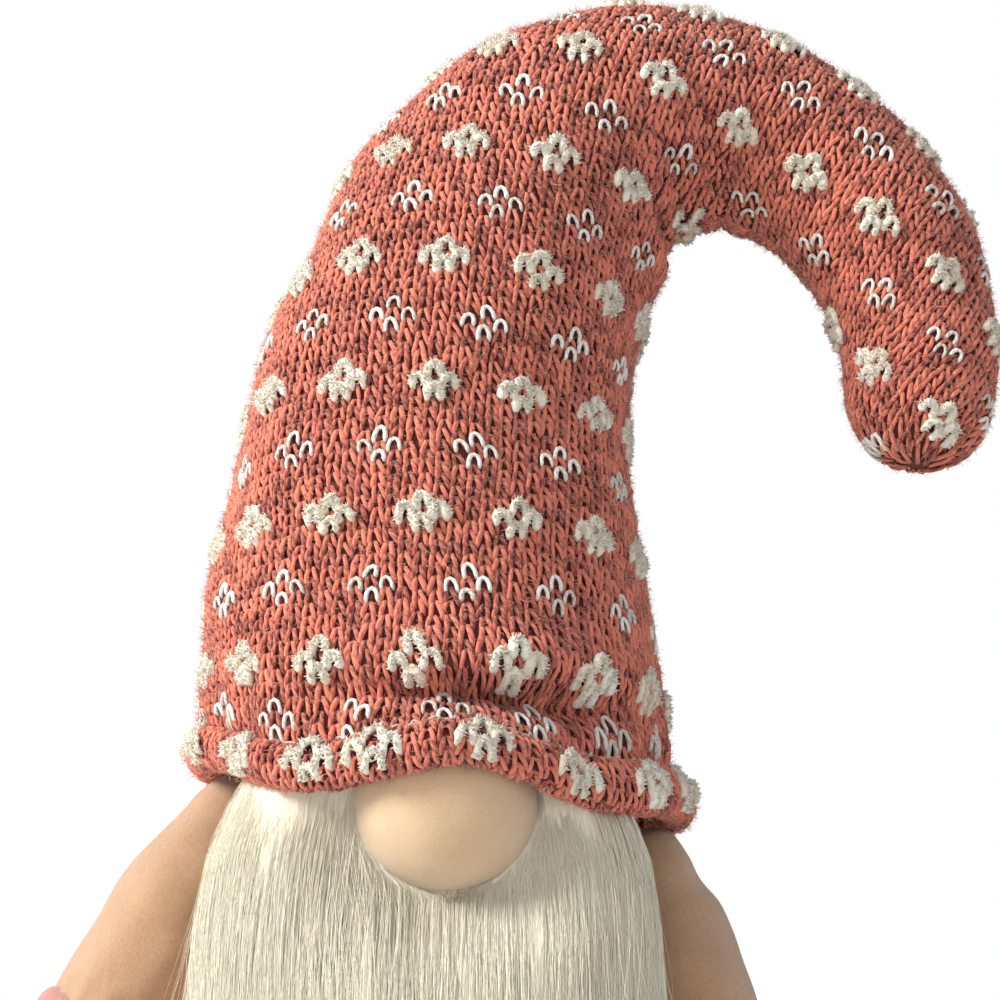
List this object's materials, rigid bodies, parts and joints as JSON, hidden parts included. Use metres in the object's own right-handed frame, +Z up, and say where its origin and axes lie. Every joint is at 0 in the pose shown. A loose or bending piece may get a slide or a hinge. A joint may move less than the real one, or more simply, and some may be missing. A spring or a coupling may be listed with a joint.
{
  "type": "tomte gnome figurine",
  "caption": "Soft standing tomte: weighted cloth body, fur beard, ball nose, swinging arms in mittens and a tall stuffed knitted hat that curls over and bends.",
  "frame": {"origin": "centre of the base pad's underside, on the surface that the figure stands on", "axes": "+Z up, -Y the front where the nose and beard are, +X the figure's left hand, the side that the hat's tip curls to"},
  "size_m": [0.2557, 0.1314, 0.4064],
  "materials": {
    "hat_knit": "dusty rose jersey with cream flowers",
    "fleece": "camel polar fleece",
    "mitten_fleece": "dusty pink fleece",
    "nose_fleece": "pale tan short-pile fleece",
    "fur": "cream long straight faux fur",
    "fur_backing": "knitted fur backing",
    "felt": "pressed wool felt",
    "stuffing": "polyester fibre filling",
    "ballast": "cotton bag of plastic pellets",
    "board": "bare hardboard",
    "thread": "twisted sewing thread",
    "glue": "hot-melt glue",
    "wire": "soft annealed wire"
  },
  "bodies": {
    "root": {"base_pad": "felt", "body_cover": "fleece", "base_board": "board", "ballast_bag": "ballast", "body_stuffing": "stuffing", "neck_tie": "thread", "neck_glue": "glue", "shoulder_thread_left": "thread", "shoulder_thread_right": "thread", "hat_cover_lower": "hat_knit", "hat_floor": "felt", "hat_stuffing_lower": "stuffing", "hat_wire_lower": "wire", "nose_cover": "nose_fleece", "nose_core": "stuffing", "nose_thread": "thread", "beard_backing": "fur_backing", "beard_fur": "fur"},
    "left_arm": {"sleeve_left": "fleece", "arm_stuffing_left": "stuffing", "mitten_left": "mitten_fleece", "mitten_stuffing_left": "stuffing"},
    "right_arm": {"sleeve_right": "fleece", "arm_stuffing_right": "stuffing", "mitten_right": "mitten_fleece", "mitten_stuffing_right": "stuffing"},
    "hat_tip": {"hat_cover_tip": "hat_knit", "hat_stuffing_tip": "stuffing", "hat_wire_tip": "wire"}
  },
  "joints": [
    {"name": "left_arm_swing", "type": "hinge", "parent": "root", "child": "left_arm", "pos_m": [-0.051, 0, 0.1875], "axis": [-1, 0, 0], "range_deg": [-45, 55]},
    {"name": "right_arm_swing", "type": "hinge", "parent": "root", "child": "right_arm", "pos_m": [0.0525, 0, 0.174], "axis": [-1, 0, 0], "range_deg": [-45, 55]},
    {"name": "hat_tip_bend", "type": "hinge", "parent": "root", "child": "hat_tip", "pos_m": [0.06979, 0, 0.37447], "axis": [0, -1, 0], "range_deg": [-10, 26]}
  ]
}
